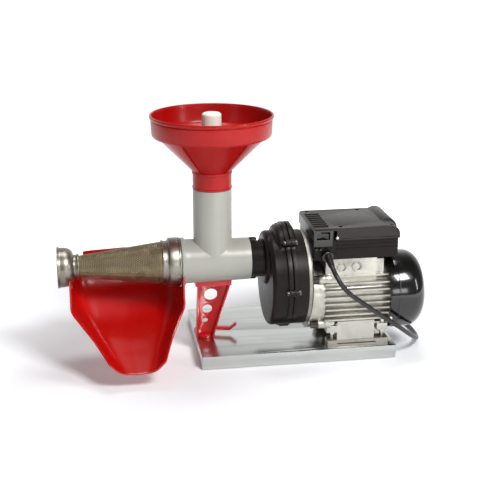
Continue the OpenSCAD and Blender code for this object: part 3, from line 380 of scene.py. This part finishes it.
# ---------------------------------------------------------------- CAD pieces that keep their shape
dress("base_tray", BRUSHED, 0.6, 3)
dress("rubber_feet", RUBBER, 0.5)
dress("plinth_rails", CAST_DULL_SHADED, 0.5)
dress("motor_foot_bolts", ZINC, 0.3)
dress("motor_housing", CAST, 0.45, 2)
dress("front_shield", CAST, 0.6, 2)
dress("shield_bolts", DARK_STEEL, 0.3)
dress("rear_shield", CAST, 0.5)
dress("stator_core", CORE, 0)
dress("stator_windings", COPPER, 0)
dress("motor_bearings", STEEL, 0)
dress("fan_cowl", BLACK_GLOSS, 0.5, 2)
dress("cowl_screws", ZINC, 0.2)
dress("rotor_shaft", STEEL, 0.3)
dress("rotor_core", CORE, 0)
dress("cooling_fan", BLACK, 0.2)
dress("motor_pinion", STEEL, 0.1)
dress("terminal_box_base", BLACK, 0.7, 3)
dress("terminal_box_lid", BLACK_LID_SHEEN, 0.9, 3)
dress("lid_screws", ZINC, 0.2)
dress("start_capacitor", WHITE, 0.4)
dress("switch_housing", BLACK_GLOSS, 0.4, 3)
dress("switch_rocker", BLACK_GLOSS, 0.3, 2)
dress("cable_gland", BLACK, 0.4)
dress("strain_relief", RUBBER, 0.2)
dress("gear_case_front", BLACK, 0.8, 3)
dress("gear_case_rear", BLACK, 0.8, 3)
dress("gear_case_bolts", DARK_STEEL, 0.25)
dress("case_back_plate", CAST_DULL_SHADED, 0.6)
dress("plate_gasket", RUBBER, 0)
dress("countershaft", STEEL, 0.3)
dress("countershaft_wheel", NYLON, 0.1)
dress("countershaft_pinion", STEEL, 0.1)
dress("countershaft_bushes", BRASS, 0)
dress("output_wheel", NYLON, 0.2)
dress("output_shaft", STEEL, 0.3)
dress("output_bushes", BRASS, 0)
dress("shaft_seal", RUBBER, 0)
dress("collar_screws", ZINC, 0.3)
dress("mill_body", GREY, 0.6, 3)
dress("auger_screw", WHITE, 0)
dress("auger_shank", STEEL, 0.3)
dress("sieve_collar", NICKEL, 0.3)
dress("ring_nut", NICKEL, 0.4)
dress("waste_nozzle", NICKEL, 0.3)
dress("pestle", WHITE, 0.5)
dress("support_bracket", RED_PAINT, 0.5, 2)
dress("bracket_foot_screw", ZINC, 0.3)
dress("clamp_lever", RED_PAINT, 0.5, 2)
dress("coil_tie", BLACK, 0.4)
dress("plug_body", RUBBER, 0.9, 3)
dress("plug_pins", BRASS, 0.5, 3)

# ---------------------------------------------------------------- funnel: rolled lip, band, beads and ribs
# Profile as (height, radius): up the outside, over the rolled lip and down the inside
LIP_R = 1.6
LIP_AT = (378.4, 88.4)
FUNNEL = [(245.3, 25.6), (270.3, 25.6), (270.3, 28.5), (270.9, 29.5), (273.4, 29.6), (274.1, 28.9),
          (292.8, 28.9), (293.4, 29.9), (296.4, 29.9), (297.1, 29.3), (298.6, 30.6), (348.0, 79.6),
          (348.3, 83.4), (349.0, 85.6), (350.4, 86.8), (352.6, 87.3), (372.6, 88.3), (373.4, 87.5),
          (374.4, 87.5), (375.2, 89.3), (376.6, 90.0)]
FUNNEL += [(LIP_AT[0] + LIP_R * math.sin(math.radians(a)), LIP_AT[1] + LIP_R * math.cos(math.radians(a)))
           for a in range(0, 181, 30)]
FUNNEL += [(374.0, 86.1), (356.0, 84.9), (352.6, 83.4), (351.0, 78.8), (300.2, 29.6), (296.6, 26.8),
           (273.3, 26.8), (270.3, 23.7), (245.3, 23.7)]
funnel = lathe("funnel_shell", FUNNEL, "funnel", RED, axis="Z", centre=(NECK_X, AXIS_Y, 0),
               segments=128, closed=True, angle=28)
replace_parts(funnel, "funnel")


RIBS = 5
RIB_HALF = 1.1
RIB = [(297.6, 28.2), (296.8, 30.6), (303.0, 37.2), (340.0, 74.6), (348.6, 80.8), (349.0, 79.4)]


def funnel_rib(n):
    """Thin rib down the outside of the cone."""
    a = math.radians(-130 + 360 / RIBS * n)
    out, side = Vector((math.cos(a), math.sin(a), 0)), Vector((-math.sin(a), math.cos(a), 0))
    centre = Vector((NECK_X, AXIS_Y, 0))
    verts = [centre + out * r + Vector((0, 0, z)) + side * w for w in (-RIB_HALF, RIB_HALF) for z, r in RIB]
    k = len(RIB)
    faces = [tuple(range(k)), tuple(range(2 * k - 1, k - 1, -1))]
    faces += [(i, (i + 1) % k, k + (i + 1) % k, k + i) for i in range(k)]
    name = "funnel_rib_%d" % n
    o = link(name, mesh_from(name, verts, faces), "funnel", RED)
    soften(o, 0.5, 3)
    shade(o)


for n in range(RIBS):
    funnel_rib(n)

# ---------------------------------------------------------------- collecting tray as a smooth moulded shell
# Its middle in X, its half width at the sieve and its wall
TRAY_C, TRAY_W, TRAY_T = -257.8, 81.5, 2.4
# From the back to the spout: Y and Z of the floor, Y and Z of the rim, the half widths of the floor and of
# the rim as parts of TRAY_W, and a shift in X
STATIONS = [(0, 168, -90, 144.5, 1, 1, 0), (-1, 135, -91, 132, 1, 1, 0), (-7, 108, -92, 116, 0.97, 1, 0),
            (-28, 86, -94, 102, 0.9, 0.99, 0.5), (-60, 64, -104, 86, 0.73, 0.86, 2.5),
            (-100, 43, -124, 64, 0.52, 0.66, 5.5), (-150, 25, -153, 43, 0.29, 0.48, 8.5)]


def bend(a, p, b, radius, steps):
    """Points of the rounded corner p between a and b."""
    u, v = a - p, b - p
    reach = min(radius, 0.48 * u.length, 0.48 * v.length)
    start, end = p + u.normalized() * reach, p + v.normalized() * reach
    return [(1 - t) ** 2 * start + 2 * t * (1 - t) * p + t * t * end
            for t in [k / steps for k in range(steps + 1)]]


def tray_section(u):
    """Inner face of the tray across X at station u."""
    floor_y, floor_z, rim_y, rim_z, w, v, shift = [smooth(column, u) for column in zip(*STATIONS)]
    w, v = w * TRAY_W, v * TRAY_W
    floor, rim = Vector((floor_y, floor_z)), Vector((rim_y, rim_z))
    high = (rim - floor).length
    foot = w * 0.96
    toe = 0.14
    wall_steps, corner_steps, floor_steps = 14, 9, 8
    top, middle = Vector((-v, high)), Vector((0, 0))
    heel = Vector((-(foot + (v - foot) * toe), high * toe)).lerp(Vector((-foot, 0)), 0.5)
    # As a part of the height, the corner is rounder towards the spout
    radius = (0.3 + 0.55 * (u / (len(STATIONS) - 1)) ** 2) * high
    corner = bend(top, heel, middle, radius, corner_steps)
    base = [corner[-1].lerp(middle, k / floor_steps) for k in range(1, floor_steps)]
    left = [top.lerp(corner[0], k / wall_steps) for k in range(wall_steps)] + corner + base
    out = []
    for p in left + [middle] + [Vector((-q.x, q.y)) for q in reversed(left)]:
        q = floor + (rim - floor) * (p.y / high)
        out.append((TRAY_C + shift + p.x, q.x, q.y))
    return out


def tray_shell():
    """The tray's inner face, notched round the ring nut and the nozzle, with a wall added outside it."""
    steps = 84
    middle = TRAY_C * MM
    # In metres, for the ring nut on the right and the nozzle on the left: the notch's radius, how far behind
    # the axis the wall is open, and the height above which it is open there
    notches = {True: (0.0376, 0.039, 0.157), False: (0.0322, 0.044, 0.142)}
    last = len(STATIONS) - 1
    rows = [tray_section(last * i / steps) for i in range(steps + 1)]
    m = len(rows[0])
    verts = [p for row in rows for p in row]
    faces = [(i * m + j, i * m + j + 1, (i + 1) * m + j + 1, (i + 1) * m + j)
             for i in range(steps) for j in range(m - 1)]
    mesh = bpy.data.meshes.new("tray_shell")
    mesh.from_pydata([tuple(c * MM for c in v) for v in verts], [], faces)
    bm = bmesh.new()
    bm.from_mesh(mesh)
    axis = Vector((AXIS_Y * MM, MILL_Z * MM))

    def notch(co):
        """Whether a point of a side wall is cut away, and its place on the notch's round edge."""
        if abs(co.x - middle) < 0.055:
            return False, None
        r, back, low = notches[co.x > middle]
        d = Vector((co.y, co.z)) - axis
        if d.length < r:
            edge = axis + d.normalized() * r
            return True, (co.x, edge.x, edge.y)
        return axis.x < co.y < axis.x + back and co.z > low, None

    gone = [f for f in bm.faces if all(notch(v.co)[0] for v in f.verts)]
    bmesh.ops.delete(bm, geom=gone, context="FACES")
    for v in bm.verts:
        edge = notch(v.co)[1]
        if edge:
            v.co = edge
    bmesh.ops.recalc_face_normals(bm, faces=bm.faces)
    up = sum((f.normal.z for f in bm.faces if abs(f.calc_center_median().x - middle) < 0.03), 0.0)
    if up < 0:
        bmesh.ops.reverse_faces(bm, faces=bm.faces)
    bm.to_mesh(mesh)
    bm.free()
    o = link("tray_shell", mesh, "base", RED_TRAY)
    thick = o.modifiers.new("wall", "SOLIDIFY")
    thick.thickness = TRAY_T * MM
    thick.offset = -1
    soften(o, 0.9, 3, 60)
    shade(o, 60)
    return o


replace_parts(tray_shell(), "collecting_tray")

# ---------------------------------------------------------------- perforated sieve cone with a lapped seam
SIEVE_X = (-326.0, -204.5)
SIEVE_R = (16.3, 31.4)


def sieve_radius(x):
    """Radius of the cone at x."""
    return SIEVE_R[0] + (SIEVE_R[1] - SIEVE_R[0]) * (x - SIEVE_X[0]) / (SIEVE_X[1] - SIEVE_X[0])


def sieve():
    """Cone of skewed cells with an eight-sided hole in each, and a plain rim at both ends."""
    around, rows = 60, 44
    plain = 4
    sleeve = 5
    # Half of a hole's width, as a part of the cell
    hole = 0.23
    x0, x1 = SIEVE_X[0] + plain, SIEVE_X[1] - plain
    turn = 2 * math.pi / around

    def at(x, a):
        r = sieve_radius(x)
        return (x, AXIS_Y + r * math.cos(a), MILL_Z + r * math.sin(a))

    verts, faces = [], []
    grid = []
    for i in range(rows + 1):
        x = x0 + (x1 - x0) * i / rows
        grid.append(len(verts))
        verts += [at(x, (j + i * 0.5) * turn) for j in range(around)]
    for i in range(rows):
        x = x0 + (x1 - x0) * (i + 0.5) / rows
        for j in range(around):
            k = (j + 1) % around
            corners = [grid[i] + j, grid[i] + k, grid[i + 1] + k, grid[i + 1] + j]
            angle = (j + 0.5 + (i + 0.5) * 0.5) * turn
            first = len(verts)
            for q in range(8):
                w = math.radians(q * 45 - 135)
                along = hole * (x1 - x0) / rows * math.sin(w)
                verts.append(at(x + along, angle + hole * turn * math.cos(w)))
            for n in range(4):
                a, b, c = first + (2 * n + 7) % 8, first + 2 * n, first + 2 * n + 1
                faces.append((corners[n], a, b))
                faces.append((corners[n], b, c, corners[(n + 1) % 4]))
    for row, edge, r, out in ((0, SIEVE_X[0], SIEVE_R[0], -sleeve), (rows, SIEVE_X[1], SIEVE_R[1], sleeve)):
        angles = [(j + row * 0.5) * turn for j in range(around)]
        rim = len(verts)
        verts += [at(edge, a) for a in angles]
        end = len(verts)
        verts += [(edge + out, AXIS_Y + r * math.cos(a), MILL_Z + r * math.sin(a)) for a in angles]
        for a, b in ((grid[row], rim), (rim, end)):
            faces += [(a + j, a + (j + 1) % around, b + (j + 1) % around, b + j) for j in range(around)]
    o = link("sieve_sheet", mesh_from("sieve_sheet", verts, faces), "base", TINNED)
    shade(o, 50)
    return o


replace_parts(sieve(), "sieve_cone")


def strip(name, points, half, height, body, material):
    """Flat raised strip along a line on the sieve, sunk a little into it."""
    sunk = -0.3
    verts, faces = [], []
    for p, out, side in points:
        p, out, side = Vector(p), Vector(out), Vector(side)
        for across, h in ((-half, sunk), (-half, height), (half, height), (half, sunk)):
            verts.append(p + side * across + out * h)
    n = len(points)
    for i in range(n - 1):
        for k in range(4):
            m = (k + 1) % 4
            faces.append((4 * i + k, 4 * i + m, 4 * i + 4 + m, 4 * i + 4 + k))
    faces += [(0, 1, 2, 3), tuple(4 * n - 4 + k for k in (3, 2, 1, 0))]
    o = link(name, mesh_from(name, verts, faces), body, material)
    soften(o, 0.2, 2)
    shade(o)


seam_at = math.radians(200)
SEAM_SPANS = 8
SEAM_MARGIN = 1
seam = []
for i in range(SEAM_SPANS + 1):
    x = SIEVE_X[0] + SEAM_MARGIN + (SIEVE_X[1] - SIEVE_X[0] - 2 * SEAM_MARGIN) * i / SEAM_SPANS
    r = sieve_radius(x)
    out = (0, math.cos(seam_at), math.sin(seam_at))
    seam.append(((x, AXIS_Y + r * out[1], MILL_Z + r * out[2]), out, (0, -out[2], out[1])))
strip("sieve_seam", seam, 2.2, 0.5, "base", TINNED)

# ---------------------------------------------------------------- small things on the box and the motor
# Ribs to grip on the left of the lid's top face, from front to back
GRIP_AT, GRIP_PITCH, GRIP_WIDE = -80.5, 10.5, 4.2
for i in range(7):
    y = GRIP_AT + i * GRIP_PITCH
    prism("grip_rib_%d" % i, [(21, y), (43, y), (43, y + GRIP_WIDE), (21, y + GRIP_WIDE)], 211.4, 213.4,
          "base", BLACK, plane="XY", bevel=0.7, steps=3)
# Profiles along Y are (Y, radius)
CLIP_SCREW = [(-96.6, 0), (-96.6, 1.2), (-96.0, 2.3), (-94.6, 2.5), (-93.4, 2.5), (-93.4, 1.4), (-90.0, 1.4),
              (-90.0, 0)]
lathe("clip_screw", CLIP_SCREW, "base", ZINC, axis="Y", centre=(53.2, 0, 197.4), segments=24)
END_KNOB = [(-98.0, 0), (-98.0, 1.6), (-97.4, 2.2), (-91.5, 2.2), (-91.5, 0)]
for i, x in enumerate((21.5, 28.0)):
    lathe("end_knob_%d" % i, END_KNOB, "base", BLACK_GLOSS, axis="Y", centre=(x, 0, 181.2), segments=24)
# Raised seam round the fan cowl
COWL_SEAM = [(149.0, 59.4), (149.4, 60.5), (150.4, 60.8), (151.4, 60.5), (151.8, 59.4)]
lathe("cowl_seam", COWL_SEAM, "base", BLACK_GLOSS, centre=(0, AXIS_Y, MOTOR_Z), segments=96)
# Knock-outs on the front of the motor's seat for the box: a rim and a sunk disc
for i, (x, z, r) in enumerate(((62.5, 148.6, 7.2), (85.5, 148.9, 7.6))):
    knock_out = [(-89.0, 0), (-88.8, r - 2.2), (-89.6, r - 1.6), (-90.7, r - 1.2), (-90.9, r - 0.5),
                 (-90.4, r), (-88.2, r)]
    lathe("knock_out_%d" % i, knock_out, "base", CAST, axis="Y", centre=(x, 0, z), segments=40)
GLAND_RING = [(-103.0, 3.9), (-103.4, 6.6), (-102.6, 8.4), (-100.6, 8.9), (-98.8, 8.4), (-98.0, 6.4),
              (-98.0, 3.9)]
lathe("gland_ring", GLAND_RING, "base", BLACK_GLOSS, axis="Y", centre=(38, 0, 171), segments=40,
      closed=True)

# ---------------------------------------------------------------- floor and light
FLOOR = material("pale_floor", srgb(241, 242, 245), 0.8, spread=0.0, grain=40, bump=0.0, specular=0.1)
glow = FLOOR.node_tree.nodes["Principled BSDF"]
glow.inputs["Emission Color"].default_value = (1, 1, 1, 1)
# It glows more with the distance from its middle, so that it turns white before the horizon
ground = FLOOR.node_tree
place = ground.nodes.new("ShaderNodeTexCoord")
reach = ground.nodes.new("ShaderNodeVectorMath")
reach.operation = "LENGTH"
fade = map_range(ground.nodes, (0.45, 0.95), (0.06, 0.9))
ground.links.new(place.outputs["Object"], reach.inputs[0])
ground.links.new(reach.outputs["Value"], fade.inputs["Value"])
ground.links.new(fade.outputs["Result"], glow.inputs["Emission Strength"])
bpy.ops.mesh.primitive_plane_add(size=2.8, location=(0, -0.25, 0))
floor = bpy.context.object
floor.name = "floor"
floor.data.materials.append(FLOOR)

# A camera ray sees the world white. Other rays see it bright only low behind the machine
world = bpy.data.worlds.new("world")
scene.world = world
world.use_nodes = True
tree = world.node_tree
backdrop = tree.nodes["Background"]
backdrop.inputs["Color"].default_value = (1, 1, 1, 1)
path = tree.nodes.new("ShaderNodeLightPath")
toward = tree.nodes.new("ShaderNodeTexCoord")
parts = tree.nodes.new("ShaderNodeSeparateXYZ")
tree.links.new(toward.outputs["Generated"], parts.inputs["Vector"])
behind = map_range(tree.nodes, (0.2, 0.8), (0.2, 0.95))
tree.links.new(parts.outputs["Y"], behind.inputs["Value"])
above = map_range(tree.nodes, (0.35, 0.8), (1, 0.35))
tree.links.new(parts.outputs["Z"], above.inputs["Value"])
both = tree.nodes.new("ShaderNodeMath")
both.operation = "MULTIPLY"
tree.links.new(behind.outputs["Result"], both.inputs[0])
tree.links.new(above.outputs["Result"], both.inputs[1])
power = tree.nodes.new("ShaderNodeMix")
power.inputs["B"].default_value = 1.05
tree.links.new(path.outputs["Is Camera Ray"], power.inputs["Factor"])
tree.links.new(both.outputs["Value"], power.inputs["A"])
tree.links.new(power.outputs["Result"], backdrop.inputs["Strength"])


def softbox(name, at, aim, size, size_y, watts):
    """White rectangular light at one point, turned towards another, in metres."""
    data = bpy.data.lights.new(name, "AREA")
    data.shape = "RECTANGLE"
    data.size, data.size_y = size, size_y
    data.energy = watts
    o = bpy.data.objects.new(name, data)
    o.location = at
    o.rotation_euler = (Vector(aim) - Vector(at)).to_track_quat("-Z", "Y").to_euler()
    scene.collection.objects.link(o)


softbox("key", (0.45, -1.2, 1.45), (-0.05, -0.05, 0.15), 0.5, 0.5, 28)
softbox("top", (0.0, 0.2, 1.7), (-0.05, -0.05, 0.1), 0.7, 0.5, 10)
softbox("left", (-1.3, -0.9, 0.8), (-0.1, -0.05, 0.15), 0.35, 0.9, 1.0)
softbox("strip", (1.15, -1.0, 0.6), (-0.1, -0.05, 0.15), 0.16, 0.7, 4)
softbox("window", (0.3, -1.5, 0.35), (0.05, -0.05, 0.1), 0.5, 0.3, 2.5)
